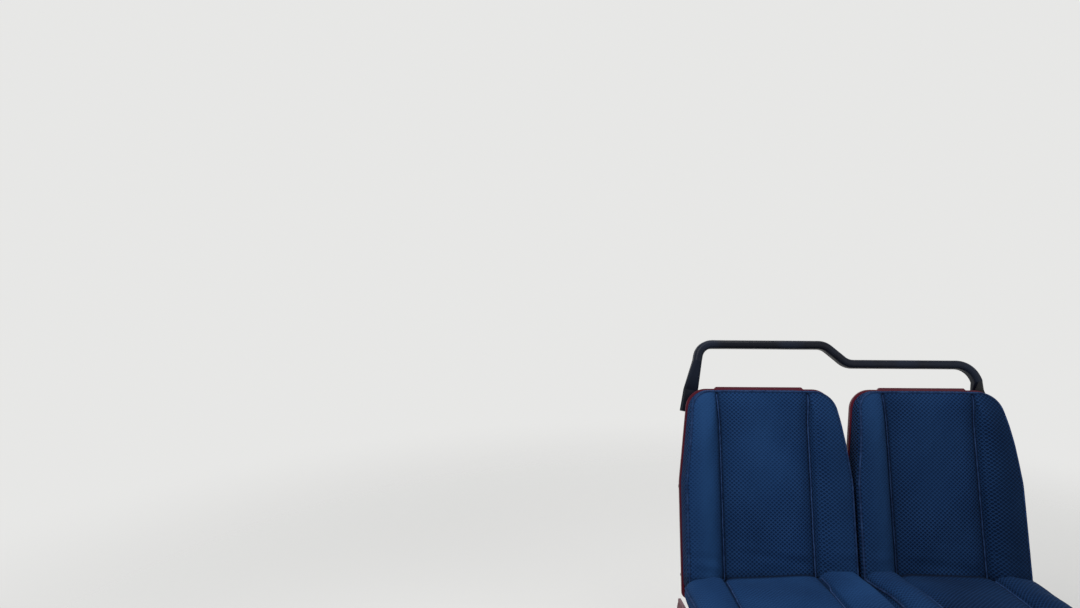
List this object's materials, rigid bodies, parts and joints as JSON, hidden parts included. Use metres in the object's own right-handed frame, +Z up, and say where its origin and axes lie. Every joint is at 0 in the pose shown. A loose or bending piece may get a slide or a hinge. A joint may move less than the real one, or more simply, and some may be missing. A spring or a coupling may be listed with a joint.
{
  "type": "twin passenger bus seat",
  "caption": "Two upholstered bus seats in red shells on one steel frame, with a stepped black grab rail, an aisle leg and a wall plate.",
  "frame": {"origin": "centre of the four wall bolts, on the face of the wall plate that meets the vehicle's wall", "axes": "+X out of the seat into the wall, square to the wall plate; +Z up; the sitter faces -Y and the aisle is at -X"},
  "size_m": [0.8842, 0.6254, 0.987],
  "materials": {
    "red_shell": "satin, scuffed at the edges",
    "blue_fabric": "raised honeycomb weave",
    "black_rail": "fine texture, satin",
    "frame_steel": "satin",
    "zinc_bolts": "dull zinc",
    "black_plastic": "matte"
  },
  "bodies": {
    "root": {"grab_rail": "black_rail", "grab_rail_bolts": "zinc_bolts", "aisle_back_shell": "red_shell", "aisle_back_cushion": "blue_fabric", "aisle_seat_shell": "red_shell", "aisle_seat_cushion": "blue_fabric", "aisle_uprights": "frame_steel", "aisle_upright_bolts": "zinc_bolts", "aisle_pan_brackets": "frame_steel", "window_back_shell": "red_shell", "window_back_cushion": "blue_fabric", "window_seat_shell": "red_shell", "window_seat_cushion": "blue_fabric", "window_uprights": "frame_steel", "window_upright_bolts": "zinc_bolts", "window_pan_brackets": "frame_steel", "front_cross_tube": "frame_steel", "rear_cross_tube": "frame_steel", "tube_end_caps": "black_plastic", "wall_plate": "frame_steel", "wall_gussets": "frame_steel", "leg_beam": "frame_steel", "leg_post": "frame_steel", "foot_plate": "frame_steel", "foot_gussets": "frame_steel"}
  },
  "joints": []
}
